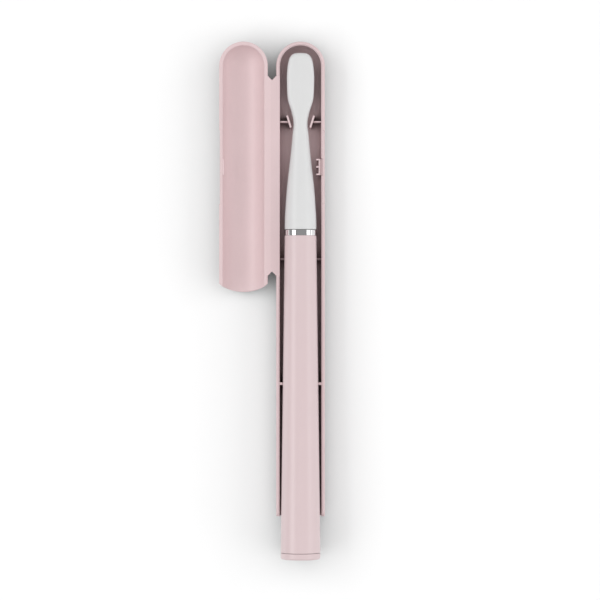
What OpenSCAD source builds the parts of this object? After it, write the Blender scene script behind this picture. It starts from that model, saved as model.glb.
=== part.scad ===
// Slim electric toothbrush lying in its open travel case.
// Millimetres. X runs across the case, Y along the brush towards the bristle
// head, Z up. The part lies on z = 0 with its lid folded out flat; the fold
// line of the lid is the Y axis at rim height. Origin: bottom centre.

/* [Case] */
// Overall length, from the domed end of the case to the foot of the brush
overall_l = 230.4; // [226:0.2:240]
// Outside width of each half of the case
case_w = 21.7; // [21.6:0.1:23]
// Depth of each half, from rim to outside bottom
case_d = 12.0; // [11.8:0.1:13.5]
// Wall thickness at the sides
wall = 1.7; // [1.4:0.1:1.8]
// Wall thickness at the bottom
floor_t = 1.25; // [1:0.05:1.6]
// Length of the tray, from dome to open end
tray_l = 211.5; // [205:0.5:213]
// Length of the lid at its middle, from dome to the tip of the curved end
lid_l = 111.5; // [105:0.5:118]
// Radius of the curved end of the lid, seen from above
lid_end_r = 18; // [14:0.5:40]
// Outside corner radius of the tray's U section
tray_corner_r = 6.5; // [6:0.5:8]
// Height of the centre of the lid's round section, above the rim
lid_arc_z = 13.2; // [12.6:0.05:13.3]

/* [Fold line] */
// Distance from the fold line to the outside wall of each half
flange_w = 1.85; // [1.6:0.05:2.4]
// Flange thickness
flange_t = 1.2; // [0.9:0.1:1.6]
// Width of the thin bending strip
web_w = 1.0; // [0.8:0.1:1.4]
// Thickness of the thin bending strip
web_t = 0.35; // [0.25:0.05:0.5]
// Y of the flange end nearest the dome
flange_y1 = 99.8; // [96:0.2:101]
// Y of the flange end nearest the foot
flange_y0 = 11.0; // [9:0.2:16]

/* [Latch and clips] */
// Y of the middle of the snap latch
latch_y = 59.3; // [56:0.1:66]
// Length of the latch tongue
latch_l = 7.2; // [6:0.1:9]
// How far the tongue and the neck clip stand above the rim
latch_h = 1.7; // [1.3:0.1:1.8]
// Length of the finger scoops on the outer edges
scoop_l = 32.8; // [20:0.2:36]
// Y of the neck clip
clip_y = 79.5; // [78:0.1:80]
// Angle of the neck clip's cheeks to the brush
clip_deg = 17.5; // [15:0.5:20]
// Y of the upper saddle rib
saddle_a_y = 18.4; // [14:0.2:22]
// Y of the lower saddle rib
saddle_b_y = -37.1; // [-60:0.2:-30]

/* [Brush] */
// Height of the brush's axis
axis_z = 12.4; // [12.2:0.05:12.8]
// Handle radius at its metal ring
handle_r1 = 7.05; // [6.9:0.05:7.2]
// Handle radius at its foot
handle_r0 = 8.85; // [8.6:0.05:8.9]
// Y of the top of the handle, under the metal ring
handle_y1 = 28.8; // [28:0.05:29]
// Length of the metal ring
ring_l = 2.5; // [2:0.05:3.1]
// Thickness of the foot cap
cap_t = 3.0; // [2.6:0.1:3.4]
// Radius of the charging socket in the foot
socket_r = 3.5; // [3:0.1:3.6]
// Depth of the charging socket
socket_l = 10; // [8:0.5:10.5]
// Y of the power button
button_y = -22; // [-26:0.5:-18]
// Radius of the power button
button_r = 3.2; // [2.6:0.1:3.4]

/* [Bristles] */
// Tip level of the bristles below the brush's axis
bristle_drop = 10.4; // [9.5:0.1:10.5]
// Radius of one tuft
tuft_r = 0.72; // [0.6:0.02:0.78]
// Pitch of the tuft rows along the head
tuft_pitch = 2.05; // [1.9:0.05:2.3]

/* [Hidden] */
$fn = 96;

PINK = [0.90, 0.78, 0.78];
PALE = [0.93, 0.93, 0.93];
STEEL = [0.72, 0.73, 0.75];
COPPER = [0.78, 0.45, 0.28];
DARK = [0.18, 0.18, 0.20];

rim = case_d;
ho = case_w / 2;
hi = ho - wall;
cx = flange_w + ho;              // X of each half's middle line
top_y = overall_l / 2;           // domed end
foot_y = -overall_l / 2;         // foot of the brush
dome_y = top_y - ho;             // centre of the domed ends
tray_y0 = top_y - tray_l;
lid_tip = top_y - lid_l;
fold_z = rim + 0.05;             // fold axis, leaving 0.1 between closed rims
seam_y = foot_y + cap_t;
handle_l = handle_y1 - seam_y;
ring_y1 = handle_y1 + ring_l;
stem_y0 = ring_y1 + 0.2;
function handle_r(y) = handle_r0 + (handle_r1 - handle_r0) * (y - seam_y) / handle_l;

// ------------------------------------------------------------ helpers
module along_y(y0, y1) { translate([0, y1, 0]) rotate([90, 0, 0]) linear_extrude(y1 - y0) children(); }
module rod_y(y0, y1, r, r2 = -1) { translate([0, y0, 0]) rotate([-90, 0, 0]) cylinder(h = y1 - y0, r1 = r, r2 = r2 < 0 ? r : r2); }
module tube_y(y0, y1, ro, ri) { difference() { rod_y(y0, y1, ro); rod_y(y0 - 1, y1 + 1, ri); } }
module box(x0, x1, y0, y1, z0, z1) { translate([x0, y0, z0]) cube([x1 - x0, y1 - y0, z1 - z0]); }
module on_axis() { translate([cx, 0, axis_z]) children(); }

// Half of a U section with rounded bottom corners, x >= 0
module u_half(h, r, z0, z1) {
  square_from(0, h, z0 + r, z1);
  square_from(0, h - r, z0, z0 + r);
  intersection() { translate([h - r, z0 + r]) circle(r); square_from(h - r, h, z0, z0 + r); }
}
module square_from(x0, x1, y0, y1) { translate([x0, y0]) square([x1 - x0, y1 - y0]); }
module u_full(h, r, z0, z1) { u_half(h, r, z0, z1); mirror([1, 0]) u_half(h, r, z0, z1); }
// Half of the lid's round section, x >= 0: a round of centre zc that is 2 h
// wide at rim height, cut off at z1
module arc_half(h, zc, z1) {
  r = sqrt(h * h + (zc - rim) * (zc - rim));
  intersection() { translate([0, zc]) circle(r); square_from(0, r, zc - r, z1); }
}
module arc_full(h, zc, z1) { arc_half(h, zc, z1); mirror([1, 0]) arc_half(h, zc, z1); }

// ------------------------------------------------------------ case
// Long scoop for a fingernail, cut in the outer edge at x = side
module scoop(d) {
  translate([cx + ho - d, latch_y - scoop_l / 2, rim])
    rotate([0, 18, 0]) translate([0, 0, -3.4]) cube([4, scoop_l, 8]);
}
module flange() {
  translate([0, 0, rim - flange_t]) linear_extrude(flange_t)
    polygon([[web_w / 2, flange_y0 + 1.35], [flange_w, flange_y0], [flange_w + 0.8, flange_y0],
             [flange_w + 0.8, flange_y1], [flange_w, flange_y1], [web_w / 2, flange_y1 - 1.35]]);
}
// Room inside the tray for the pieces moulded onto its wall and floor
module inside(y0, y1, z_top) {
  translate([cx, 0, 0]) along_y(y0, y1) u_full(hi - 0.02, tray_corner_r - wall - 0.02, floor_t + 0.02, z_top);
}
// One cheek of the neck clip and the thin rib that ties it to the wall
module clip_side() {
  translate([cx - 5.15, clip_y, 0]) rotate([0, 0, clip_deg])
    box(-0.42, 0.42, -2.8, 2.8, 0, rim + latch_h - 0.2);
  box(cx - hi, cx - 5.3, clip_y - 0.33, clip_y + 0.33, 0, rim - 1.0);
}
// Cross rib with a round saddle for the handle
module saddle(y, t, z_top) {
  difference() {
    inside(y - t / 2, y + t / 2, z_top);
    on_axis() rod_y(y - t, y + t, handle_r(y - t / 2) + 0.1);
  }
}
module tray_outer() {
  translate([cx, 0, 0]) along_y(tray_y0, dome_y) u_full(ho, tray_corner_r, 0, rim);
  translate([cx, dome_y, 0]) rotate_extrude(angle = 180) u_half(ho, tray_corner_r, 0, rim);
}
module tray_inner() {
  translate([cx, 0, 0]) along_y(tray_y0 - 1, dome_y) u_full(hi, tray_corner_r - wall, floor_t, rim + 1);
  translate([cx, dome_y, 0]) rotate_extrude(angle = 180) u_half(hi, tray_corner_r - wall, floor_t, rim + 1);
}
ty = cx + 8.6;                   // outer face of the latch tongue
module case_tray() color(PINK) difference() {
  union() {
    difference() { tray_outer(); tray_inner(); }
    flange();
  }
  // notch in the rim beside the tongue
  box(ty, cx + hi + 0.7, latch_y - latch_l / 2 - 0.1, latch_y + latch_l / 2 + 0.1, rim - 0.8, rim + 1);
  scoop(1.0);
  // open end: the top corners of the walls are rounded off
  difference() {
    box(0, 30, tray_y0 - 1, tray_y0 + 2.6, rim - 2.6, rim + 1);
    translate([0, tray_y0 + 2.6, rim - 2.6]) rotate([0, 90, 0]) cylinder(h = 30, r = 2.6);
  }
}
module neck_clip() color(PINK) intersection() {
  union() { clip_side(); translate([2 * cx, 0, 0]) mirror([1, 0, 0]) clip_side(); }
  inside(clip_y - 4, clip_y + 4, rim + 4);
}
module saddle_ribs() color(PINK) {
  saddle(saddle_a_y, 0.8, rim - 2.6);
  saddle(saddle_b_y, 1.1, rim);
}
// Snap tongue: an upright plate with three gussets, rooted in the side wall
module latch_tongue() color(PINK) intersection() {
  union() {
    box(ty - 0.01, cx + hi, latch_y - latch_l / 2, latch_y + latch_l / 2, 6.5, rim - 0.8);
    box(ty - 0.55, ty, latch_y - latch_l / 2, latch_y + latch_l / 2, 4.2, rim + latch_h);
    for (k = [-1, 0, 1]) box(ty - 1.95, ty - 0.5, latch_y + k * (latch_l / 2 - 0.35) - 0.35,
      latch_y + k * (latch_l / 2 - 0.35) + 0.35, 3.2, rim + latch_h - 0.1);
  }
  inside(latch_y - 5, latch_y + 5, rim + 4);
}
module case_lid() color(PINK) mirror([1, 0, 0]) {
  difference() {
    union() {
      difference() {
        union() {
          translate([cx, 0, 0]) along_y(lid_tip, dome_y) arc_full(ho, lid_arc_z, rim);
          translate([cx, dome_y, 0]) rotate_extrude(angle = 180) arc_half(ho, lid_arc_z, rim);
        }
        translate([cx, 0, 0]) along_y(lid_tip - 1, dome_y) arc_full(hi, lid_arc_z, rim + 1);
        translate([cx, dome_y, 0]) rotate_extrude(angle = 180) arc_half(hi, lid_arc_z, rim + 1);
      }
      flange();
      // snap boss that drops outside the tray's tongue
      box(cx + hi - 0.48, cx + hi + 0.3, latch_y - latch_l / 2 + 0.1, latch_y + latch_l / 2 - 0.1, rim - 2.1, rim - 0.3);
    }
    scoop(0.7);
    // curved end
    difference() {
      box(cx - ho - 1, cx + ho + 1, lid_tip - 2, lid_tip + lid_end_r, -1, rim + 1);
      translate([cx, lid_tip + lid_end_r, -2]) cylinder(h = rim + 4, r = lid_end_r);
    }
  }
}
module living_hinge() color(PINK)
  translate([0, 0, rim - web_t]) linear_extrude(web_t)
    polygon([[-web_w / 2, flange_y0 + 1.35], [0, flange_y0 + 1.8], [web_w / 2, flange_y0 + 1.35],
             [web_w / 2, flange_y1 - 1.35], [0, flange_y1 - 1.8], [-web_w / 2, flange_y1 - 1.35]]);

// ------------------------------------------------------------ handle
bore_a = 5.5;    // motor bay
bore_b = 6.25;   // board bay
bore_c = 7.0;    // battery bay
bay_ab = -7;     // Y where the motor bay meets the board bay
bay_bc = -53;    // Y where the board bay meets the battery bay
plug_r = 4.9;
front_z = -handle_r(button_y);
module handle_shell() color(PINK) on_axis() difference() {
  rod_y(seam_y, handle_y1, handle_r0, handle_r1);
  rod_y(bay_ab, handle_y1 - 1.6, bore_a);
  rod_y(bay_bc, bay_ab + 0.01, bore_b);
  rod_y(seam_y - 1, bay_bc + 0.01, bore_c);
  rod_y(handle_y1 - 2, handle_y1 + 1, plug_r + 0.05);
  translate([0, button_y, front_z - 1]) cylinder(h = 5, r = button_r + 0.15);
  translate([0, button_y - 8.2, front_z - 1]) cylinder(h = 5, r = 0.95);
}
module metal_ring() color(STEEL) on_axis() translate([0, handle_y1, 0]) rotate([-90, 0, 0])
  rotate_extrude() difference() {
    square_from(plug_r + 0.05, handle_r1, 0, ring_l);
    // small bevels on the outer edges
    translate([handle_r1, 0]) rotate(45) square(0.3, center = true);
    translate([handle_r1, ring_l]) rotate(45) square(0.3, center = true);
  }
module foot_cap() color(PINK) on_axis() difference() {
  translate([0, foot_y, 0]) rotate([-90, 0, 0]) rotate_extrude() {
    square_from(0, handle_r0 - 1.0, 0, cap_t - 0.12);
    square_from(0, handle_r0, 1.0, cap_t - 0.12);
    translate([handle_r0 - 1.0, 1.0]) intersection() { circle(1.0); square_from(0, 1, -1, 0); }
    difference() { square_from(0, 6.9, cap_t - 0.5, cap_t + 3.6); square_from(6.3, 7.5, cap_t + 1.2, cap_t + 2.4); }
    square_from(0, socket_r + 1.0, cap_t + 3, socket_l + 1.0);
  }
  rod_y(foot_y - 1, foot_y + socket_l, socket_r);
}
module foot_cap_seal() color(DARK) on_axis() translate([0, seam_y + 1.8, 0]) rotate([-90, 0, 0])
  rotate_extrude() intersection() { translate([6.65, 0]) circle(0.5); square_from(6.3, 7.0, -0.55, 0.55); }
module nose_plug() color(PALE) on_axis() difference() {
  union() { rod_y(handle_y1 - 4.6, handle_y1 - 1.7, 5.4); rod_y(handle_y1 - 1.8, ring_y1 + 0.6, plug_r); }
  rod_y(handle_y1 - 6, ring_y1 + 2, 2.1);
  rod_y(handle_y1 - 1.2, ring_y1 + 2, 3.2);
}
module shaft_seal() color(DARK) on_axis() difference() {
  union() { rod_y(handle_y1 - 1.2, ring_y1 - 0.4, 3.2); rod_y(ring_y1 - 0.5, ring_y1 + 1.2, 2.8, 2.2); }
  rod_y(handle_y1 - 2, ring_y1 + 3, 1.8);
}
module power_button() color(PINK) on_axis() intersection() {
  translate([0, button_y, front_z - 1]) cylinder(h = 2.3, r = button_r);
  rod_y(button_y - 5, button_y + 5, handle_r(button_y) + 0.3);
}
module button_pad() color(DARK) on_axis() translate([0, button_y, front_z + 1.3]) cylinder(h = 0.8, r = button_r - 0.1);
module indicator_lens() color(PALE) on_axis() translate([0, button_y - 8.2, front_z]) {
  translate([0, 0, 0.02]) cylinder(h = 2.4, r = 0.9);
}
// Carrier that slides into the handle and holds battery and board
module chassis() color(PALE) on_axis() difference() {
  union() {
    intersection() { tube_y(-51.9, bay_ab - 1.2, 6.1, 5.2); box(-7, 7, -60, 0, -1.6, 7); }
    intersection() { tube_y(-99.4, -53.2, 6.1, 5.25); box(-7, 7, -110, -40, -1.6, 7); }
    rod_y(-9.6, -8.4, 6.1);                       // bulkhead behind the motor
    rod_y(-53.4, -51.8, 6.1);                     // bulkhead before the battery
    rod_y(-100.6, -99.2, 6.1);                    // bulkhead behind the battery
    for (y = [-13, -48]) box(-2.4, 2.4, y - 1.6, y + 1.6, -1.6, 5.6);   // board bosses
  }
  box(-7, 7, -51.8, -9.6, -7, -1.6);
  for (y = [-13, -48]) translate([0, y, -3]) cylinder(h = 6, r = 0.55);
  rod_y(-12, -5, 0.6);                                                  // torsion rod's seat
  for (a = [-3.2, 3.2]) translate([a, 0, 2.5]) rod_y(-12, -5, 0.55);    // motor leads
  for (y = [-52.6, -99.9]) box(-1.6, 1.6, y - 1.2, y + 1.2, 3.8, 4.7);  // battery tabs
  for (a = [-2.4, 2.4]) translate([a, 0, -4.6]) rod_y(-102, -98, 0.55);
  for (a = [-4.6, 4.6]) translate([a, 0, -3.0]) rod_y(-55, -50, 0.6);
}
pcb_z = -2.6;   // lower face of the board, relative to the axis
module circuit_board() color([0.10, 0.36, 0.24]) on_axis() difference() {
  box(-5.0, 5.0, -51.2, -10.2, pcb_z, pcb_z + 1.0);
  for (y = [-13, -48]) translate([0, y, pcb_z - 1]) cylinder(h = 3, r = 0.6);
}
module board_screws() color(STEEL) on_axis() for (y = [-13, -48]) translate([0, y, pcb_z]) {
  translate([0, 0, -0.7]) cylinder(h = 0.7, r = 1.1);
  translate([0, 0, -0.01]) cylinder(h = 3.2, r = 0.5);
}
module control_chips() color(DARK) on_axis() {
  box(-2.0, 2.0, -40.4, -36.4, pcb_z - 0.9, pcb_z);
  box(1.6, 4.2, -45.4, -42.6, pcb_z - 1.1, pcb_z);
  box(-4.2, -2.0, -45.2, -43.0, pcb_z - 0.8, pcb_z);
  for (x = [-3.6, -2.2, 2.2, 3.6]) box(x - 0.4, x + 0.4, -34.6, -33.0, pcb_z - 0.5, pcb_z);
}
module status_led() color([0.95, 0.95, 0.85]) on_axis() box(-0.8, 0.8, button_y - 9.0, button_y - 7.4, pcb_z - 0.7, pcb_z);
sw_z = pcb_z - 1.5;
module tact_switch() color(DARK) on_axis() difference() {
  box(-2.2, 2.2, button_y - 2.2, button_y + 2.2, sw_z, pcb_z);
  translate([0, button_y, sw_z - 1]) cylinder(h = 2.0, r = 0.95);
}
module switch_plunger() color(PALE) on_axis() translate([0, button_y, front_z + 2.1])
  cylinder(h = sw_z - front_z - 2.1 + 0.35, r = 0.85);
module battery_cell() color([0.25, 0.45, 0.72]) on_axis() { rod_y(-98.4, -54.6, 5.1); rod_y(-54.6, -54.0, 1.6); }
module battery_foam() color(DARK) on_axis() intersection() { tube_y(-90, -63, 6.9, 5.15); box(-4, 4, -95, -60, -7.2, -2.2); }
module battery_tabs() color(STEEL) on_axis() {
  box(-1.5, 1.5, -54.0, -53.8, 0, 4.0);
  box(-1.5, 1.5, -54.0, -50.6, 3.9, 4.1);
  box(-1.5, 1.5, -98.7, -98.5, 0, 4.4);
  box(-1.5, 1.5, -101.6, -98.5, 4.3, 4.5);
}
// ------------------------------------------------------------ motor
can_y0 = -5.4; can_y1 = 22.6;
module motor_can() color(STEEL) on_axis() difference() {
  rod_y(can_y0, can_y1, 5.35);
  rod_y(can_y0 + 0.8, can_y1 - 0.8, 4.85);
  rod_y(can_y0 - 1, can_y1 + 1, 2.6);
  for (a = [-3.2, 3.2]) translate([a, 0, 2.5]) rod_y(can_y0 - 1, can_y0 + 1, 0.55);
}
module front_bearing() color([0.80, 0.62, 0.35]) on_axis() tube_y(can_y1 - 2.6, can_y1 + 0.6, 2.6, 1.8);
module rear_bearing() color([0.80, 0.62, 0.35]) on_axis() tube_y(can_y0 - 0.4, can_y0 + 1.8, 2.6, 1.25);
module stator_core() color(STEEL) on_axis() {
  for (s = [-1, 1]) intersection() { tube_y(can_y0 + 1.0, 12.6, 4.8, 3.85); translate([0, 0, s * 4]) box(-2.6, 2.6, -10, 20, -2, 2); }
  difference() { intersection() { rod_y(can_y0 + 1.0, can_y0 + 2.6, 4.8); box(-2.6, 2.6, -10, 20, -5, 5); } rod_y(-10, 10, 2.65); }
}
module stator_coil() color(COPPER) on_axis() tube_y(can_y0 + 3.2, 3.6, 3.7, 2.0);
// Thin rod that twists to bring the rotor back to its middle position
module torsion_rod() color(STEEL) on_axis() rod_y(-9.5, can_y0 - 0.2, 0.5);
module drive_shaft() color(STEEL) on_axis() {
  rod_y(can_y0 - 0.2, 4.4, 1.2);
  rod_y(4.4, 42, 1.75);
  intersection() { rod_y(41.9, 51.0, 1.75); box(-3, 3, 40, 52, -1.3, 3); }
}
module rotor_yoke() color(DARK) on_axis() tube_y(5.0, 13.0, 2.6, 1.8);
module shaft_collar() color(STEEL) on_axis() tube_y(18.6, 19.8, 2.6, 1.8);
module rotor_magnets() color([0.55, 0.55, 0.58]) on_axis() for (s = [-1, 1])
  intersection() { tube_y(5.4, 12.6, 3.65, 2.65); translate([0, 0, s * 3]) box(-1.9, 1.9, 5, 13, -2, 2); }
module motor_leads() color([0.75, 0.15, 0.15]) on_axis() for (a = [-3.2, 3.2]) translate([a, 0, 2.5]) rod_y(-12.4, can_y0 + 3.0, 0.4);
// ------------------------------------------------------------ charging coil
module coil_former() color(PALE) on_axis() difference() {
  union() { rod_y(-108.2, -102.4, 5.0); rod_y(-108.2, -107.5, 6.4); rod_y(-103.1, -102.4, 6.4); }
  rod_y(-110, -101, 4.55);
}
module charging_coil() color(COPPER) on_axis() tube_y(-107.45, -103.15, 6.3, 5.05);
module ferrite_core() color(DARK) on_axis() rod_y(-104.0, -101.0, 3.9);
module coil_leads() color(COPPER) on_axis() for (a = [-2.4, 2.4]) translate([a, 0, -4.6]) rod_y(-102.3, -98.7, 0.3);

// ------------------------------------------------------------ brush head
// Stations along the head: Y, half width, height of the back, height of the
// front, squareness of the section. Heights are measured from the axis.
stem = [
  [stem_y0, 7.03, 7.03, 7.03, 2.0], [36, 6.98, 6.95, 6.95, 2.0], [40, 6.78, 6.62, 6.68, 2.0],
  [45, 6.45, 6.15, 6.3, 2.0], [49, 6.15, 5.7, 5.95, 2.0], [53, 5.76, 5.2, 5.5, 2.0],
  [58, 5.2, 4.6, 4.9, 2.0], [63, 4.62, 4.0, 4.35, 2.05], [67, 4.18, 3.6, 3.95, 2.1],
  [71, 3.8, 3.25, 3.6, 2.15], [74.5, 3.5, 3.02, 3.3, 2.2], [77.6, 3.14, 2.84, 3.0, 2.25],
  [79.5, 3.18, 2.78, 2.78, 2.3], [82, 3.6, 2.72, 2.48, 2.35], [84.6, 4.24, 2.66, 2.15, 2.45],
  [87, 5.02, 2.6, 1.85, 2.6], [89, 5.6, 2.55, 1.68, 2.8], [90.8, 5.83, 2.5, 1.6, 3.0],
  [94, 5.99, 2.46, 1.58, 3.1], [99, 6.1, 2.42, 1.58, 3.1], [102, 5.95, 2.4, 1.58, 3.0],
  [104.6, 5.68, 2.35, 1.56, 2.8], [106.8, 5.22, 2.25, 1.5, 2.6], [108.4, 4.5, 2.0, 1.3, 2.4],
  [109.4, 3.5, 1.6, 1.0, 2.2], [109.9, 2.3, 1.05, 0.6, 2.1], [110.05, 1.0, 0.5, 0.25, 2.0]];
ring_n = 32;
function sp(v, n) = sign(v) * pow(abs(v), 2 / n);
function stem_ring(s) = [for (k = [0 : ring_n - 1]) let (a = 360 * k / ring_n)
  [s[1] * sp(cos(a), s[4]), s[0], (sin(a) > 0 ? s[2] : s[3]) * sp(sin(a), s[4])]];
module loft(st) {
  n = len(st);
  pts = [for (s = st) each stem_ring(s)];
  faces = concat(
    [[for (k = [0 : ring_n - 1]) k]],
    [[for (k = [ring_n - 1 : -1 : 0]) (n - 1) * ring_n + k]],
    [for (i = [0 : n - 2]) for (k = [0 : ring_n - 1]) let (k2 = (k + 1) % ring_n) each
      [[i * ring_n + k, (i + 1) * ring_n + k, (i + 1) * ring_n + k2], [i * ring_n + k, (i + 1) * ring_n + k2, i * ring_n + k2]]]);
  polyhedron(points = pts, faces = faces, convexity = 4);
}
module brush_stem() color(PALE) on_axis() difference() {
  loft(stem);
  rod_y(stem_y0 - 1, stem_y0 + 2.2, 5.6);
  rod_y(stem_y0, 54.0, 3.5);
  tufts(0.02, 0.35);
}
module shaft_socket() color([0.85, 0.86, 0.88]) on_axis() difference() {
  rod_y(stem_y0 + 2.4, 53.8, 3.45);
  rod_y(stem_y0, 42.2, 1.8);
  intersection() { rod_y(42.0, 51.6, 1.8); box(-3, 3, 40, 53, -1.35, 3); }
}
// Tuft centres: rows along the head, as many tufts across as the width takes
function row_y(i) = 88.6 + i * tuft_pitch;
rows = 10;
function row_count(i) = (i == 0 || i == rows - 1) ? 3 : (i % 2 == 1 ? 4 : 5);
function row_pitch(i) = (i % 2 == 1) ? 2.1 : 2.0;
module tufts(slack, root) {
  for (i = [0 : rows - 1]) let (n = row_count(i)) for (k = [0 : n - 1])
    let (x = (k - (n - 1) / 2) * row_pitch(i), d = bristle_drop - 0.05 * pow(x, 2))
      translate([x, row_y(i), -d]) cylinder(h = d + root, r = tuft_r + slack, $fn = 24);
}
module bristle_tufts() color([0.97, 0.97, 0.98]) on_axis() tufts(0, 0.25);

case_tray();
neck_clip();
saddle_ribs();
latch_tongue();
case_lid();
living_hinge();
handle_shell();
metal_ring();
foot_cap();
foot_cap_seal();
nose_plug();
shaft_seal();
power_button();
button_pad();
indicator_lens();
chassis();
circuit_board();
board_screws();
control_chips();
status_led();
tact_switch();
switch_plunger();
battery_cell();
battery_foam();
battery_tabs();
motor_can();
front_bearing();
rear_bearing();
stator_core();
stator_coil();
torsion_rod();
drive_shaft();
rotor_yoke();
shaft_collar();
rotor_magnets();
motor_leads();
charging_coil();
coil_former();
ferrite_core();
coil_leads();
brush_stem();
shaft_socket();
bristle_tufts();
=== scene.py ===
import math
import random

import bmesh
import bpy
import numpy as np
from mathutils import Matrix, Vector


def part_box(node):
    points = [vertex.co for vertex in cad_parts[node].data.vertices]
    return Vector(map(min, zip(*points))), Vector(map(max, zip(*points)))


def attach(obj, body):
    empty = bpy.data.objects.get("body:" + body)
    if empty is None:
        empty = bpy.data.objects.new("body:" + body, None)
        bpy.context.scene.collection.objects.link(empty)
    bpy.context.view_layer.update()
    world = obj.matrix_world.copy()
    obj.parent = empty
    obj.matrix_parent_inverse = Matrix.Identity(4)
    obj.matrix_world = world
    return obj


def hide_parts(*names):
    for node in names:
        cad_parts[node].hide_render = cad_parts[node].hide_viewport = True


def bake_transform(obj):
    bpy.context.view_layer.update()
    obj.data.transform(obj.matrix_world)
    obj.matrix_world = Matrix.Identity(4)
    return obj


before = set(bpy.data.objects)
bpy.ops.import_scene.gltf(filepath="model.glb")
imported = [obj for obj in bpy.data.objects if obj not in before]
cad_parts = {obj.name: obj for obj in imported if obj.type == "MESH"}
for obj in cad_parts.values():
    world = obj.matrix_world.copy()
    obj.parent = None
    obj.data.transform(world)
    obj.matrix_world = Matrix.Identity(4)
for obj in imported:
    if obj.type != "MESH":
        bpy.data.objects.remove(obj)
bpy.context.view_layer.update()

MM = 0.001
scene = bpy.context.scene
scene.view_settings.view_transform = "Standard"
scene.view_settings.look = "None"
scene.view_settings.exposure = 0.0
scene.view_settings.gamma = 1.0

# ---------------------------------------------------------------- sizes, mm
t_lo, t_hi = (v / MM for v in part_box("case_tray"))
l_lo, l_hi = (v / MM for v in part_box("case_lid"))
RIM = l_hi.z
HO = 10.85
CX = t_hi.x - HO
HI = HO - 1.7
FLOOR = 1.25
TOP = t_hi.y
DOME = TOP - HO
TY0 = t_lo.y
LTIP = l_lo.y
END_R = 18.0
LZ = 13.2
RO = math.hypot(HO, LZ - RIM)
RI = math.hypot(HI, LZ - RIM)
FL_T = 1.2
FL_Y0, FL_Y1 = 11.0, 99.8
WEB = 0.5
WEB_T = 0.35
LATCH_Y, LATCH_L = 59.3, 7.2
SC_L = 32.8
r_lo, r_hi = (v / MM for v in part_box("metal_ring"))
s_lo, s_hi = (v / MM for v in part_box("handle_shell"))
c_lo, c_hi = (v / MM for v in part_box("foot_cap"))
AZ = (c_lo.z + c_hi.z) / 2
HR0 = (c_hi.z - c_lo.z) / 2
HR1 = (r_hi.z - r_lo.z) / 2
SEAM, HY1 = s_lo.y, s_hi.y
RY1 = r_hi.y
FOOT = c_lo.y


def handle_r(y):
    return HR0 + (HR1 - HR0) * (y - SEAM) / (HY1 - SEAM)


# ---------------------------------------------------------------- materials
def mat_new(name, colour, rough, metallic=0.0, spec=0.5, **sockets):
    m = bpy.data.materials.new(name)
    m.use_nodes = True
    nt = m.node_tree
    b = nt.nodes["Principled BSDF"]
    b.inputs["Base Color"].default_value = (*colour, 1.0)
    b.inputs["Roughness"].default_value = rough
    b.inputs["Metallic"].default_value = metallic
    b.inputs["Specular IOR Level"].default_value = spec
    for k, v in sockets.items():
        b.inputs[k.replace("_", " ")].default_value = v
    m.diffuse_color = (*colour, 1.0)
    return m, nt, b


def coords(nt, scale=(1, 1, 1)):
    tc = nt.nodes.new("ShaderNodeTexCoord")
    mp = nt.nodes.new("ShaderNodeMapping")
    mp.inputs["Scale"].default_value = scale
    nt.links.new(tc.outputs["Object"], mp.inputs["Vector"])
    return mp.outputs["Vector"]


def noise(nt, vec, scale, detail=3.0, rough=0.5, dist=0.0):
    n = nt.nodes.new("ShaderNodeTexNoise")
    n.inputs["Scale"].default_value = scale
    n.inputs["Detail"].default_value = detail
    n.inputs["Roughness"].default_value = rough
    n.inputs["Distortion"].default_value = dist
    nt.links.new(vec, n.inputs["Vector"])
    return n.outputs["Fac"]


def remap(nt, fac, lo, hi, f0=0.25, f1=0.75):
    r = nt.nodes.new("ShaderNodeMapRange")
    r.inputs["From Min"].default_value = f0
    r.inputs["From Max"].default_value = f1
    r.inputs["To Min"].default_value = lo
    r.inputs["To Max"].default_value = hi
    nt.links.new(fac, r.inputs["Value"])
    return r.outputs["Result"]


def ramp(nt, fac, stops):
    r = nt.nodes.new("ShaderNodeValToRGB")
    e = r.color_ramp.elements
    while len(e) < len(stops):
        e.new(0.5)
    for el, (p, c) in zip(e, stops):
        el.position = p
        el.color = (*c, 1.0)
    nt.links.new(fac, r.inputs["Fac"])
    return r.outputs["Color"]


def bump(nt, b, height, dist, strength=1.0, normal=None):
    n = nt.nodes.new("ShaderNodeBump")
    n.inputs["Strength"].default_value = strength
    n.inputs["Distance"].default_value = dist
    nt.links.new(height, n.inputs["Height"])
    if normal is not None:
        nt.links.new(normal, n.inputs["Normal"])
    nt.links.new(n.outputs["Normal"], b.inputs["Normal"])
    return n.outputs["Normal"]


def shade(c, k):
    return tuple(min(1.0, x * k) for x in c)


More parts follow.
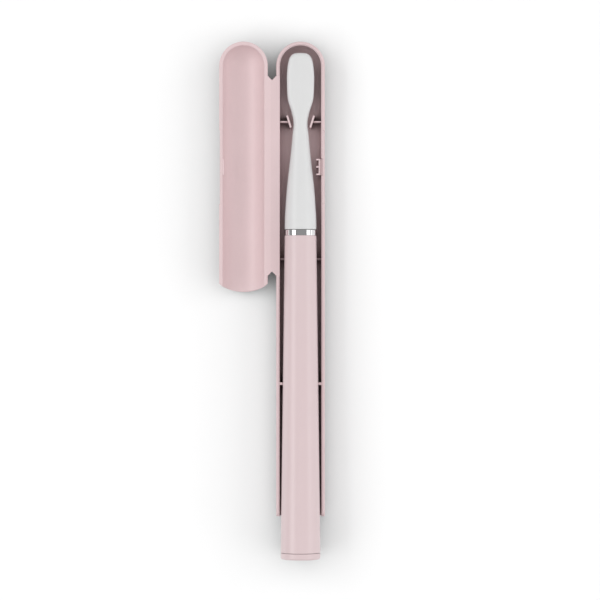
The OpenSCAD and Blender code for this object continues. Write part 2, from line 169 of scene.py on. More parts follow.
def moulded(name, colour, rough, grain=2600.0, depth=0.000012, vary=0.02, spec=0.45, crevice_painted_shade=0.0, gloss=0.055, **kw):
    """Moulded plastic: faint cloudiness of colour, uneven gloss and a fine eroded texture; when asked for, also painted
    shade, with the colour darkened where an occlusion test finds other surfaces close by, in crevices and narrow gaps.
    """
    m, nt, b = mat_new(name, colour, rough, spec=spec, **kw)
    v = coords(nt)
    cloud = noise(nt, v, 90.0, 4.0, 0.55)
    speck = noise(nt, v, grain * 0.5, 2.0, 0.6)
    mix = nt.nodes.new("ShaderNodeMix")
    mix.data_type = "FLOAT"
    mix.inputs[0].default_value = 0.35
    nt.links.new(cloud, mix.inputs[2])
    nt.links.new(speck, mix.inputs[3])
    tint = ramp(nt, mix.outputs[0], [(0.3, shade(colour, 1 - vary)), (0.7, shade(colour, 1 + vary))])
    # painted shade: the occlusion node darkens the colour in crevices and narrow gaps, where shade falls
    if crevice_painted_shade:
        ao = nt.nodes.new("ShaderNodeAmbientOcclusion")
        ao.samples = 12
        ao.inputs["Distance"].default_value = crevice_painted_shade
        painted_crevice_shade_mix = nt.nodes.new("ShaderNodeMix")
        painted_crevice_shade_mix.data_type, painted_crevice_shade_mix.blend_type = "RGBA", "MULTIPLY"
        painted_crevice_shade_mix.inputs[0].default_value = 1.0
        nt.links.new(tint, painted_crevice_shade_mix.inputs[6])
        nt.links.new(ramp(nt, ao.outputs["AO"], [(0.0, (0.07, 0.05, 0.05)), (0.30, (0.38, 0.33, 0.33)), (0.52, (0.90, 0.88, 0.88)), (0.70, (1.0, 1.0, 1.0))]), painted_crevice_shade_mix.inputs[7])
        tint = painted_crevice_shade_mix.outputs[2]
    nt.links.new(tint, b.inputs["Base Color"])
    nt.links.new(remap(nt, noise(nt, v, grain * 0.25, 3.0, 0.6), rough - gloss, rough + gloss), b.inputs["Roughness"])
    fine = noise(nt, v, grain, 4.0, 0.62)
    bump(nt, b, fine, depth, 0.8)
    return m


PINK_CASE = (0.700, 0.543, 0.553)
PINK_HANDLE = (0.674, 0.538, 0.548)
# the tray's pink and the handle's pink carry painted shade in their crevices and gaps, out to 6 mm
M_case = moulded("case_pink_polypropylene", shade(PINK_CASE, 0.985), 0.44, grain=2400.0, depth=0.000010, vary=0.018, spec=0.5, crevice_painted_shade=0.006)
# painted light: the lid is the same pink moulding as the tray, but its copy of the colour is painted about 3.5 %
# lighter than the tray's
M_lid_painted_lighter = moulded("lid_pink_polypropylene_painted_lighter", shade(PINK_CASE, 1.02), 0.44, grain=2400.0, depth=0.000010, vary=0.018, spec=0.5)
M_handle = moulded("handle_pink_satin", PINK_HANDLE, 0.29, grain=3600.0, depth=0.000004, vary=0.006, spec=0.6, crevice_painted_shade=0.006, gloss=0.006)
M_head = moulded("head_white_satin", (0.688, 0.688, 0.688), 0.32, grain=3400.0, depth=0.000005, vary=0.008, spec=0.5, gloss=0.015)
M_inner = moulded("inner_natural_plastic", (0.60, 0.59, 0.56), 0.5, grain=1800.0, depth=0.00001, vary=0.03)
M_rubber = moulded("silicone_black", (0.02, 0.02, 0.022), 0.62, grain=2000.0, depth=0.00001, vary=0.2, spec=0.35)
M_chip = moulded("chip_black_epoxy", (0.012, 0.012, 0.013), 0.55, grain=4200.0, depth=0.000012, vary=0.25)
M_lead = moulded("lead_red_sleeve", (0.30, 0.016, 0.013), 0.45, grain=2600.0, depth=0.000008, vary=0.08)
M_cell = moulded("cell_blue_sleeve", (0.018, 0.055, 0.22), 0.22, grain=700.0, depth=0.00002, vary=0.1, spec=0.55)


def metal(name, colour, rough, stretch, grain, depth, vary=0.06, **kw):
    """Metal with drawn or turned marks that run along the long side of the stretched pattern."""
    m, nt, b = mat_new(name, colour, rough, metallic=1.0, **kw)
    v = coords(nt, stretch)
    marks = noise(nt, v, grain, 5.0, 0.6)
    nt.links.new(ramp(nt, marks, [(0.3, shade(colour, 1 - vary)), (0.7, shade(colour, 1 + vary))]), b.inputs["Base Color"])
    nt.links.new(remap(nt, marks, max(0.02, rough - 0.4 * rough), rough + 0.4 * rough), b.inputs["Roughness"])
    bump(nt, b, marks, depth, 0.6)
    return m


M_chrome = metal("ring_polished_chrome", (0.74, 0.74, 0.745), 0.05, (1, 9, 1), 700.0, 0.0000006, vary=0.02)
M_steel = metal("machined_steel", (0.52, 0.52, 0.53), 0.28, (1, 12, 1), 420.0, 0.000003)
M_magnet = metal("nickel_magnet", (0.58, 0.56, 0.53), 0.18, (1, 1, 1), 900.0, 0.000002, vary=0.03)
M_bronze = metal("sintered_bronze", (0.52, 0.33, 0.15), 0.42, (1, 1, 1), 2600.0, 0.000012, vary=0.22)


def winding(name, colour, pitch, axis="Y"):
    """Wound enamelled wire: fine round ridges across the winding's axis, with painted shade in the grooves between
    turns and a painted highlight on each crest.
    """
    m, nt, b = mat_new(name, colour, 0.26, metallic=0.85)
    v = coords(nt)
    w = nt.nodes.new("ShaderNodeTexWave")
    w.wave_type, w.bands_direction, w.wave_profile = "BANDS", axis, "SIN"
    w.inputs["Scale"].default_value = 1.0 / (pitch * 20.0) * 3.1416
    w.inputs["Distortion"].default_value = 0.15
    w.inputs["Detail"].default_value = 1.0
    nt.links.new(v, w.inputs["Vector"])
    # painted shade and highlight: the colour is darker in the grooves and lighter on the crests of the same bands that
    # make the ridges
    nt.links.new(ramp(nt, w.outputs["Fac"], [(0.05, shade(colour, 0.45)), (0.6, colour), (1.0, shade(colour, 1.25))]), b.inputs["Base Color"])
    bump(nt, b, w.outputs["Fac"], 0.00008, 1.0)
    return m


M_copper = winding("copper_winding", (0.62, 0.24, 0.10), 0.00012)


def ferrite():
    m, nt, b = mat_new("pressed_ferrite", (0.022, 0.022, 0.024), 0.6)
    v = coords(nt)
    g = noise(nt, v, 5200.0, 3.0, 0.7)
    nt.links.new(ramp(nt, g, [(0.35, (0.012, 0.012, 0.014)), (0.72, (0.05, 0.05, 0.055))]), b.inputs["Base Color"])
    nt.links.new(remap(nt, g, 0.45, 0.75), b.inputs["Roughness"])
    bump(nt, b, g, 0.00002, 0.8)
    return m


M_ferrite = ferrite()


def board():
    """Solder mask with copper tracks showing through as a lighter green, and tinned pads."""
    m, nt, b = mat_new("circuit_board_green", (0.01, 0.09, 0.035), 0.34)
    v = coords(nt, (1, 1, 1))
    br = nt.nodes.new("ShaderNodeTexBrick")
    br.inputs["Scale"].default_value = 320.0
    br.inputs["Mortar Size"].default_value = 0.06
    br.inputs["Brick Width"].default_value = 0.9
    br.inputs["Row Height"].default_value = 0.32
    br.inputs["Color1"].default_value = (0.008, 0.075, 0.03, 1)
    br.inputs["Color2"].default_value = (0.010, 0.085, 0.034, 1)
    br.inputs["Mortar"].default_value = (0.03, 0.16, 0.06, 1)
    nt.links.new(v, br.inputs["Vector"])
    vo = nt.nodes.new("ShaderNodeTexVoronoi")
    vo.inputs["Scale"].default_value = 520.0
    nt.links.new(v, vo.inputs["Vector"])
    pads = remap(nt, vo.outputs["Distance"], 1.0, 0.0, 0.10, 0.13)
    mx = nt.nodes.new("ShaderNodeMix")
    mx.data_type = "RGBA"
    nt.links.new(pads, mx.inputs[0])
    nt.links.new(br.outputs["Color"], mx.inputs[6])
    mx.inputs[7].default_value = (0.55, 0.54, 0.50, 1)
    nt.links.new(mx.outputs[2], b.inputs["Base Color"])
    nt.links.new(pads, b.inputs["Metallic"])
    bump(nt, b, br.outputs["Fac"], 0.00002, 0.5)
    return m


M_board = board()


def foam():
    m, nt, b = mat_new("open_cell_foam", (0.02, 0.02, 0.022), 0.9, spec=0.2)
    v = coords(nt)
    vo = nt.nodes.new("ShaderNodeTexVoronoi")
    vo.inputs["Scale"].default_value = 1900.0
    nt.links.new(v, vo.inputs["Vector"])
    # painted shade: the cell pits, low in the bump, are painted darker than the cell walls
    nt.links.new(ramp(nt, vo.outputs["Distance"], [(0.1, (0.008, 0.008, 0.009)), (0.6, (0.045, 0.045, 0.05))]), b.inputs["Base Color"])
    bump(nt, b, vo.outputs["Distance"], 0.0003, 1.0)
    return m


M_foam = foam()


def clear(name, colour, rough, transmission):
    m, nt, b = mat_new(name, colour, rough, spec=0.5, Transmission_Weight=transmission, IOR=1.49)
    v = coords(nt)
    g = noise(nt, v, 700.0, 3.0, 0.5)
    nt.links.new(remap(nt, g, max(0.02, rough - 0.06), rough + 0.08), b.inputs["Roughness"])
    nt.links.new(ramp(nt, g, [(0.3, shade(colour, 0.96)), (0.7, shade(colour, 1.03))]), b.inputs["Base Color"])
    bump(nt, b, noise(nt, v, 3000.0, 2.0, 0.5), 0.000004, 0.4)
    return m


M_lens = clear("milky_light_guide", (0.86, 0.86, 0.83), 0.22, 0.35)
M_led = clear("led_lens", (0.88, 0.84, 0.55), 0.12, 0.6)
M_socket = moulded("socket_insert_acetal", (0.70, 0.70, 0.69), 0.33, grain=2600.0, depth=0.000006, vary=0.02)


def nylon():
    """Nylon filaments: nearly white, a little sheen, each filament a touch lighter or darker."""
    m, nt, b = mat_new("bristle_white_nylon", (0.83, 0.835, 0.84), 0.30, spec=0.5, Sheen_Weight=0.15)
    v = coords(nt, (1, 1, 0.02))
    g = noise(nt, v, 5200.0, 1.0, 0.4)
    nt.links.new(ramp(nt, g, [(0.3, (0.70, 0.705, 0.71)), (0.7, (0.88, 0.885, 0.89))]), b.inputs["Base Color"])
    nt.links.new(remap(nt, g, 0.25, 0.40), b.inputs["Roughness"])
    bump(nt, b, noise(nt, coords(nt), 9000.0, 2.0, 0.5), 0.000002, 0.4)
    return m


M_nylon = nylon()


# ---------------------------------------------------------------- mesh helpers
def make(name, V, F, mat, body, nodes=(), angle=32.0, merge=0.0002, ride=True):
    me = bpy.data.meshes.new(name)
    me.from_pydata([tuple(float(c) * MM for c in v) for v in V], [], [tuple(f) for f in F])
    bm = bmesh.new()
    bm.from_mesh(me)
    bmesh.ops.remove_doubles(bm, verts=bm.verts, dist=merge * MM)
    bmesh.ops.dissolve_degenerate(bm, edges=bm.edges, dist=merge * MM * 0.5)
    bmesh.ops.recalc_face_normals(bm, faces=bm.faces)
    bm.to_mesh(me)
    bm.free()
    me.shade_smooth()
    me.set_sharp_from_angle(angle=math.radians(angle))
    me.materials.append(mat)
    o = bpy.data.objects.new(name, me)
    scene.collection.objects.link(o)
    if ride:
        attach(o, body)
    if nodes:
        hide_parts(*nodes)
    return o


def grid_faces(rows, cols, close_rows=False, close_cols=False, base=0):
    F = []
    for i in range(rows if close_rows else rows - 1):
        i2 = (i + 1) % rows
        for k in range(cols if close_cols else cols - 1):
            k2 = (k + 1) % cols
            F.append((base + i * cols + k, base + i * cols + k2, base + i2 * cols + k2, base + i2 * cols + k))
    return F


def arc(cu, cz, r, a0, a1, n):
    return [(cu + r * math.cos(math.radians(a0 + (a1 - a0) * i / n)), cz + r * math.sin(math.radians(a0 + (a1 - a0) * i / n))) for i in range(n + 1)]


def inward(P):
    """Unit normals of an open section, pointing into its material: to the left of the path from outside bottom over the rim to the inside."""
    P = np.asarray(P, float)
    d = np.gradient(P, axis=0)
    d[0] = (1, 0)
    d[-1] = (-1, 0)
    n = np.stack([-d[:, 1], d[:, 0]], 1)
    return n / np.maximum(np.linalg.norm(n, axis=1), 1e-9)[:, None]


def lathe(profile, segs, centre=(CX, AZ), closed=True):
    """(V, F) of a profile of (radius, y) turned about a line along Y. Radius 0 gives a pole."""
    V, F = [], []
    n = len(profile)
    for i in range(segs):
        a = 2 * math.pi * i / segs
        for r, y in profile:
            V.append((centre[0] + r * math.cos(a), y, centre[1] + r * math.sin(a)))
    for i in range(segs):
        i2 = (i + 1) % segs
        for k in range(n if closed else n - 1):
            k2 = (k + 1) % n
            q = [i * n + k, i * n + k2, i2 * n + k2, i2 * n + k]
            F.append(q)
    return V, F


def rounded(points, radii, n=4):
    """A polyline whose corners are rounded: points of (r, y), one radius for each, closed."""
    out = []
    N = len(points)
    for i, (p, r) in enumerate(zip(points, radii)):
        p = np.array(p, float)
        if r <= 0:
            out.append(tuple(p))
            continue
        a = np.array(points[i - 1], float) - p
        b = np.array(points[(i + 1) % N], float) - p
        la, lb = np.linalg.norm(a), np.linalg.norm(b)
        a, b = a / la, b / lb
        cosang = float(np.clip(a @ b, -1, 1))
        half = math.acos(cosang) / 2
        d = min(r / math.tan(half), la * 0.49, lb * 0.49)
        rr = d * math.tan(half)
        c = p + (a + b) / np.linalg.norm(a + b) * (rr / math.sin(half))
        s, e = p + a * d - c, p + b * d - c
        for j in range(n + 1):
            t = j / n
            ang = math.acos(float(np.clip(s @ e / (np.linalg.norm(s) * np.linalg.norm(e)), -1, 1)))
            v = (math.sin((1 - t) * ang) * s + math.sin(t * ang) * e) / math.sin(ang)
            out.append(tuple(c + v))
    return out


def subdivide_profile(P, longest, closed=True):
    out = []
    n = len(P)
    for i in range(n if closed else n - 1):
        a, b = np.array(P[i]), np.array(P[(i + 1) % n])
        m = max(1, int(math.ceil(np.linalg.norm(b - a) / longest)))
        for j in range(m):
            out.append(tuple(a + (b - a) * j / m))
    if not closed:
        out.append(tuple(P[-1]))
    return out


def block(x0, x1, y0, y1, z0, z1, r=0.12, segs=3, rot=0.0, about=None):
    """(V, F) of a box with rounded edges, turned about Z at a point if asked."""
    bm = bmesh.new()
    bmesh.ops.create_cube(bm, size=1.0)
    for v in bm.verts:
        v.co = Vector(((x0 + x1) / 2 + v.co.x * (x1 - x0), (y0 + y1) / 2 + v.co.y * (y1 - y0), (z0 + z1) / 2 + v.co.z * (z1 - z0)))
    bmesh.ops.bevel(bm, geom=list(bm.edges), offset=r, segments=segs, profile=0.5, affect="EDGES", clamp_overlap=True)
    bm.verts.ensure_lookup_table()
    V = [tuple(v.co) for v in bm.verts]
    F = [tuple(v.index for v in f.verts) for f in bm.faces]
    bm.free()
    if rot:
        c, s = math.cos(math.radians(rot)), math.sin(math.radians(rot))
        ax, ay = about
        V = [(ax + (x - ax) * c - (y - ay) * s, ay + (x - ax) * s + (y - ay) * c, z) for x, y, z in V]
    return V, F


def join(parts):
    V, F = [], []
    for v, f in parts:
        b = len(V)
        V += list(v)
        F += [tuple(i + b for i in q) for q in f]
    return V, F


def mirror_x(part, x):
    V, F = part
    return [(2 * x - a, b, c) for a, b, c in V], [tuple(reversed(f)) for f in F]


# ---------------------------------------------------------------- case halves
def rim_outer(kind, e, u_in, wall=lambda z: HO):
    """Twelve points from the outside wall over the outer edge of the rim; heights are below the rim.
    u_in is where the rim's flat ends on the inside, wall(z) the outside wall."""
    if kind == "round":
        r = 0.95
        P = [(HO, -1.45), (HO, -1.15)] + arc(HO - r, -r, r, 0, 90, 7)
    elif kind == "soft":
        r = 0.42
        P = [(wall(z), z) for z in (-1.45, -1.05, -0.7)] + arc(HO - r - 0.03, -r, r, 0, 90, 6)
    else:
        P = [(wall(-1.5), -1.5), (wall(-1.29) + 0.07, -1.29), (HO + 0.26, -FL_T), (HO + e - 0.14, -FL_T), (HO + e - 0.03, -FL_T + 0.05), (HO + e, -FL_T + 0.18),
             (HO + e, -0.5), (HO + e, -0.012), (HO + e - 0.01, 0.0), (HO + 0.1, 0.0)]
    u = P[-1][0]
    P += [(u + (u_in - u) * 0.45, 0.0), (u + (u_in - u) * 0.9, 0.0)]
    return np.array(P, float)


N_RIM = 12


def half_section(kind, e, tray, rim_in=0.3):
    """Half of the U, from the outside bottom at the middle line over the rim to the inside floor at the middle line."""
    if tray:
        R = 6.5
        out = [(0, 0), (0.9, 0), (1.9, 0)] + arc(HO - R, R, R, -90, 0, 16) + [(HO, 8.6), (HO, 9.3), (HO, 9.9)]
        r = R - 1.7
        inner_arc = arc(HI - r, FLOOR + r, r, 0, -90, 16)
        low = inner_arc[0][1]
    else:
        a_out = -math.degrees(math.acos(HO / RO)) - 8.5
        out = arc(0, LZ, RO, -90, a_out, 20)
        r_in = rim_in
        # the inner edge: a round that meets the trough's wall
        cz = RIM - r_in
        cu = math.sqrt((RI + r_in) ** 2 - (LZ - cz) ** 2)
        a_t = math.degrees(math.atan2(LZ - cz, -cu))
        tu, tz = cu + r_in * math.cos(math.radians(a_t)), cz + r_in * math.sin(math.radians(a_t))
        a_in = math.degrees(math.atan2(tz - LZ, tu))
        inner_arc = arc(0, LZ, RI, a_in, -90, 26)
        bottom = LZ - RI
    out = np.array(out, float)
    if tray:
        top = rim_outer(kind, e, HI + rim_in)
        edge = [(HI + rim_in + 0.12, RIM), (HI + rim_in, RIM)] + arc(HI + rim_in, RIM - rim_in, rim_in, 90, 180, 4)[1:]
        wall_top = RIM - rim_in
        wall = [(HI, wall_top + (low - wall_top) * (i + 1) / 7) for i in range(6)]
        inn = inner_arc + [(1.9, FLOOR), (0.9, FLOOR), (0, FLOOR)]
    else:
        top = rim_outer(kind, e, cu + 0.1, lambda z: math.sqrt(RO * RO - (LZ - RIM - z) ** 2))
        edge = [(cu + 0.1, RIM)] + arc(cu, cz, r_in, 90, a_t, 9)
        wall = []
        inn = inner_arc[1:]
    top[:, 1] += RIM
    P = np.concatenate([out, top, np.array(edge, float)] + ([np.array(wall, float)] if wall else []) + [np.array(inn, float)])
    return P, len(out) + N_RIM


def side_scoop(P, depth):
    """Slanted fingernail cut in the outer edge: limits u to a plane leaning 18 degrees."""
    Q = P.copy()
    lim = HO - depth + (RIM - Q[:, 1]) * math.tan(math.radians(18))
    soft = np.clip((Q[:, 1] - (RIM - 0.16)) / 0.16, 0, 1) ** 2 * 0.10
    lim = lim - soft
    m = Q[:, 0] > lim
    Q[m, 0] = lim[m]
    return Q


def case_half(tray):
    """(V, F) of one half of the case as one closed skin, with X measured from its own middle line and mirrored for the lid."""
    fl_e = CX - HO - WEB
    ref = TY0 if tray else 10.1
    lip = 0.42
    ys = []
    if tray:
        ys += [TY0 + lip * (1 - math.cos(math.radians(a))) for a in (0, 25, 48, 70, 90)]
        ys += [TY0 + v for v in (0.6, 0.85, 1.15, 1.5, 1.9, 2.3, 2.6, 3.4, 5.0)]
        ys += list(np.arange(TY0 + 9, 2.0, 6.0))
    ys_body = [FL_Y0 - 0.5, FL_Y0 - 0.02, FL_Y0 + 0.10, FL_Y0 + 0.45, FL_Y0 + 0.9, FL_Y0 + 1.3, FL_Y0 + 1.36, FL_Y0 + 1.8]
    ys_body += list(np.arange(17, 41, 5.0))
    a, b = LATCH_Y - SC_L / 2, LATCH_Y + SC_L / 2
    ys_body += [a - 0.5, a - 0.06, a, a + 0.10, a + 0.3, a + 1.0]
    n0, n1 = LATCH_Y - LATCH_L / 2 - 0.1, LATCH_Y + LATCH_L / 2 + 0.1
    ys_body += [48.0, 52.0, n0 - 0.5, n0 - 0.08, n0 + 0.04, n0 + 0.2, LATCH_Y, n1 - 0.2, n1 - 0.04, n1 + 0.08, n1 + 0.5, 67.0, 71.0]
    ys_body += [b - 1.0, b - 0.3, b - 0.10, b, b + 0.06, b + 0.5]
    ys_body += [80.0, 84.5, 89.0, 93.5]
    ys_body += [FL_Y1 - 1.8, FL_Y1 - 1.36, FL_Y1 - 1.3, FL_Y1 - 0.9, FL_Y1 - 0.45, FL_Y1 - 0.10, FL_Y1 + 0.02, FL_Y1 + 0.5, 102.2, DOME]
    if not tray:
        tt = [0.0, 0.012, 0.03, 0.05, 0.075, 0.12, 0.25, 0.45, 0.7, 1.0]
        ys = [("t", t) for t in tt]
    ys = ys + sorted(ys_body)

    def section(y, side):
        """side +1 is the half away from the fold, -1 the half with the flange."""
        e = 0.0
        kind = "round" if tray else "soft"
        if side < 0 and FL_Y0 - 0.001 < y < FL_Y1 + 0.001:
            k = min(1.0, (y - FL_Y0) / 1.35, (FL_Y1 - y) / 1.35)
            e = max(0.0, k) * (fl_e + 0.0) + 0.0
            e = max(e, 0.30)
            kind = "flange"
        P, split = half_section(kind, e, tray, 0.3 if tray else 0.8)
        if side > 0 and a < y < b:
            P = side_scoop(P, 0.95 if tray else 0.62)
        if tray and side > 0 and n0 < y < n1:
            m = (P[:, 1] > RIM - 0.8) & (P[:, 0] > HI - 0.5)
            P[m, 1] = RIM - 0.8 + (P[m, 1] - (RIM - 0.8)) * 0.02
        return P, split

    def drop(P, y):
        """The tray's open end: the rim rounds down over its last 2.6 mm."""
        if tray and y < TY0 + 2.6:
            zt = RIM - 2.6 + math.sqrt(max(0.0, 2.6 ** 2 - (TY0 + 2.6 - y) ** 2))
            zb = RIM - 4.5
            m = P[:, 1] > zb
            P[m, 1] = zb + (P[m, 1] - zb) * (zt - zb) / (RIM - zb)
        return P

    V, rows = [], 0
    path = [(1, y) for y in ys] + [(0, ang) for ang in np.linspace(0, 180, 61)[1:-1]] + [(-1, y) for y in reversed(ys)]
    split = 0
    for side, p in path:
        if side == 0:
            P, split = half_section("round" if tray else "soft", 0, tray, 0.3 if tray else 0.8)
            c, s = math.cos(math.radians(p)), math.sin(math.radians(p))
            V += [(u * c, DOME + u * s, z) for u, z in P]
        elif isinstance(p, tuple):
            t = p[1]
            P, split = section(ref, side)
            N = inward(P)
            U = P[:, 0].copy()
            # rounded lip on the curved end
            if t < 0.051:
                k = {0.0: 1.0, 0.012: 0.45, 0.03: 0.15, 0.05: 0.0}[t]
                P = P + N * (0.4 * k)
                P[0, 0] = P[-1, 0] = 0
            yend = LTIP + END_R - np.sqrt(END_R ** 2 - U ** 2)
            Y = yend + (ref - yend) * t
            V += [(side * u, y, z) for (u, z), y in zip(P, Y)]
        else:
            P, split = section(p, side)
            if tray and p < TY0 + lip - 1e-6:
                k = 1 - math.sqrt(max(0.0, 1 - (1 - (p - TY0) / lip) ** 2))
                P = P + inward(P) * (lip * k)
                P[0, 0] = P[-1, 0] = 0
            P = drop(P, p)
            V += [(side * u, p, z) for u, z in P]
        rows += 1
    cols = len(V) // rows
    F = grid_faces(rows, cols)
    # end faces: outside skin to inside skin, at both ends of the path
    for base in (0, (rows - 1) * cols):
        o, i = 0, cols - 1
        while i - o > 1:
            no, ni = split - 1 - o, i - split
            if no <= 0 and ni <= 0:
                break
            if no * (cols - split) >= ni * split and no > 0:
                F.append((base + o, base + o + 1, base + i))
                o += 1
            elif ni > 0:
                F.append((base + o, base + i - 1, base + i))
                i -= 1
            else:
                F.append((base + o, base + o + 1, base + i))
                o += 1
    sx = 1 if tray else -1
    V = [(sx * (CX + x), y, z) for x, y, z in V]
    return V, F


V, F = case_half(True)
tray = make("tray_moulding", V, F, M_case, "tray", ["case_tray"], angle=38)

V, F = case_half(False)
boss = block(CX + HI - 0.48, CX + HI + 0.5, LATCH_Y - LATCH_L / 2 + 0.1, LATCH_Y + LATCH_L / 2 - 0.1, RIM - 2.4, RIM - 0.3, 0.12)
boss = ([(-x, y, z) for x, y, z in boss[0]], [tuple(reversed(f)) for f in boss[1]])
V, F = join([(V, F), boss])
lid = make("lid_moulding", V, F, M_lid_painted_lighter, "lid", ["case_lid"], angle=38)


def strip_web():
    """The thin bending strip, flush with the rim, cut to a point at both ends."""
    xs = np.linspace(-0.56, 0.56, 23)
    n = len(xs)
    prof_top = [(x, RIM - 0.004 - 0.03 * math.exp(-((x) / 0.16) ** 2) * 0.0) for x in xs]
    V, F = [], []
    rows = 0
    Y0, Y1 = FL_Y0 + 1.35, FL_Y1 - 1.35
    ys = [0.0, 0.004, 0.01] + list(np.linspace(0.02, 0.98, 60)) + [0.99, 0.996, 1.0]
    for t in ys:
        for k, (x, z) in enumerate(prof_top):
            ends = 0.45 * (1 - abs(x) / 0.56)
            y = (Y0 + ends) + (Y1 - Y0 - 2 * ends) * t
            V.append((x, y, z))
        for k, x in enumerate(xs[::-1]):
            th = WEB_T + 0.55 * max(0.0, (abs(x) - 0.36) / 0.2) ** 2
            ends = 0.45 * (1 - abs(x) / 0.56)
            y = (Y0 + ends) + (Y1 - Y0 - 2 * ends) * t
            V.append((x, y, RIM - th))
        rows += 1
    F = grid_faces(rows, 2 * n, close_cols=True)
    for base, flip in ((0, False), ((rows - 1) * 2 * n, True)):
        for k in range(n - 1):
            q = (base + k, base + k + 1, base + 2 * n - 2 - k, base + 2 * n - 1 - k)
            F.append(q if flip else tuple(reversed(q)))
    return V, F


V, F = strip_web()
web = make("hinge_strip", V, F, M_case, "tray", (), angle=50, ride=False)
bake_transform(web)
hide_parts("living_hinge")

# neck clip: two leaning cheeks and the ribs that tie them to the walls
CLIP_Y, CLIP_H = 79.5, 1.7


def cheek():
    a = block(CX - 5.15 - 0.42, CX - 5.15 + 0.42, CLIP_Y - 2.8, CLIP_Y + 2.8, FLOOR - 0.2, RIM + CLIP_H - 0.2, 0.2, 4, 17.5, (CX - 5.15, CLIP_Y))
    b = block(CX - HI - 0.35, CX - 5.2, CLIP_Y - 0.34, CLIP_Y + 0.34, FLOOR + 2.2, RIM - 1.0, 0.14, 3)
    return join([a, b])


ck = cheek()
V, F = join([ck, mirror_x(ck, CX)])
# the cheeks end inside the rounded floor, not under it
V = [(x, y, max(z, FLOOR - 0.3)) for x, y, z in V]
make("neck_clip_moulding", V, F, M_case, "tray", ["neck_clip"], angle=40)


def saddle(y, t, ztop):
    """Upright rib that follows the tray's inside, with a round seat for the handle and softened edges."""
    r = handle_r(y - t / 2) + 0.1
    P, split = half_section("round", 0, True)
    inner = [p for p in P[split:] if p[1] <= ztop]
    A = [(HI + 0.25, ztop)] + [(u + 0.2 * (u > 3), z - 0.2 * (z < 3)) for u, z in inner]
    A = np.array([a for a in A], float)
    full = np.concatenate([A * (1, 1), A[::-1][1:] * (-1, 1)])
    d = np.concatenate([[0], np.cumsum(np.linalg.norm(np.diff(full, axis=0), axis=1))])
    n = 72
    tt = np.linspace(0, d[-1], n)
    A2 = np.stack([np.interp(tt, d, full[:, 0]), np.interp(tt, d, full[:, 1])], 1)
    half = math.acos(min(1.0, max(-1.0, (AZ - ztop) / r)))
    ang = np.linspace(half, -half, n)
    B2 = np.stack([r * np.sin(ang), AZ - r * np.cos(ang)], 1)
    V = []
    b = min(0.14, t * 0.3)
    for k in range(n):
        a, c = A2[k], B2[k]
        # toward the rib's material
        m = a - c
        m = m / max(np.linalg.norm(m), 1e-6)
        top = np.array([0, -b]) if k in (0, n - 1) else np.zeros(2)
        ring = [(a, -t / 2), (c + m * b, -t / 2), (c + m * b * 0.3, -t / 2 + b * 0.3), (c, -t / 2 + b), (c, t / 2 - b), (c + m * b * 0.3, t / 2 - b * 0.3), (c + m * b, t / 2), (a, t / 2)]
        V += [(CX + p[0], y + dy, p[1]) for p, dy in ring]
    F = grid_faces(n, 8, close_cols=True)
    for base in (0, (n - 1) * 8):
        F.append(tuple(base + i for i in range(8)))
    return V, F


V, F = join([saddle(18.4, 0.8, RIM - 2.6), saddle(-37.1, 1.1, RIM - 0.03)])
make("saddle_ribs_moulding", V, F, M_case, "tray", ["saddle_ribs"], angle=40)

TYX = CX + 8.6
parts = [block(TYX - 0.55, TYX, LATCH_Y - LATCH_L / 2, LATCH_Y + LATCH_L / 2, 4.0, RIM + 1.7, 0.14),
         block(TYX - 0.1, CX + HI + 0.5, LATCH_Y - LATCH_L / 2, LATCH_Y + LATCH_L / 2, 6.5, RIM - 0.8, 0.1)]
for k in (-1, 0, 1):
    yy = LATCH_Y + k * (LATCH_L / 2 - 0.35)
    parts.append(block(TYX - 1.6, TYX - 0.4, yy - 0.35, yy + 0.35, 3.0, RIM + 1.6, 0.13))
V, F = join(parts)
make("latch_tongue_moulding", V, F, M_case, "tray", ["latch_tongue"], angle=40)

# ---------------------------------------------------------------- handle
BTN_Y, BTN_R = -22.0, 3.2


def cut(obj, cutters):
    """Takes closed meshes out of obj and keeps only the result."""
    for c in cutters:
        mod = obj.modifiers.new("cut", "BOOLEAN")
        mod.operation, mod.solver, mod.object = "DIFFERENCE", "EXACT", c
        dg = bpy.context.evaluated_depsgraph_get()
        me = bpy.data.meshes.new_from_object(obj.evaluated_get(dg), preserve_all_data_layers=True, depsgraph=dg)
        obj.modifiers.remove(mod)
        old = obj.data
        obj.data = me
        bpy.data.meshes.remove(old)
        bpy.data.objects.remove(c)


def plain(name, V, F):
    me = bpy.data.meshes.new(name)
    me.from_pydata([tuple(float(c) * MM for c in v) for v in V], [], [tuple(f) for f in F])
    bm = bmesh.new()
    bm.from_mesh(me)
    bmesh.ops.remove_doubles(bm, verts=bm.verts, dist=1e-7)
    bmesh.ops.recalc_face_normals(bm, faces=bm.faces)
    bm.to_mesh(me)
    bm.free()
    o = bpy.data.objects.new(name, me)
    scene.collection.objects.link(o)
    return o


def post(cy, z0, z1, r, segs=64, flare=0.0):
    """Upright cylinder as a cutter, with an optional flare at its lower end."""
    V, F = [], []
    zs = [(z0, r + flare), (z0 + max(flare, 0.01), r), (z1, r)]
    for z, rr in zs:
        for i in range(segs):
            a = 2 * math.pi * i / segs
            V.append((CX + rr * math.cos(a), cy + rr * math.sin(a), z))
    F = grid_faces(len(zs), segs, close_cols=True)
    F.append(tuple(range(segs)))
    F.append(tuple((len(zs) - 1) * segs + i for i in range(segs)))
    return V, F


def shell_profile():
    P = [(HR0, SEAM), (HR1, HY1), (4.95, HY1), (4.95, HY1 - 1.6), (5.5, HY1 - 1.6), (5.5, -7.0), (6.25, -7.0), (6.25, -53.0), (7.0, -53.0), (7.0, SEAM)]
    R = [0.18, 0.12, 0, 0, 0, 0, 0, 0, 0, 0.15]
    Q = rounded(P, R, 4)
    return subdivide_profile(Q, 1.6)


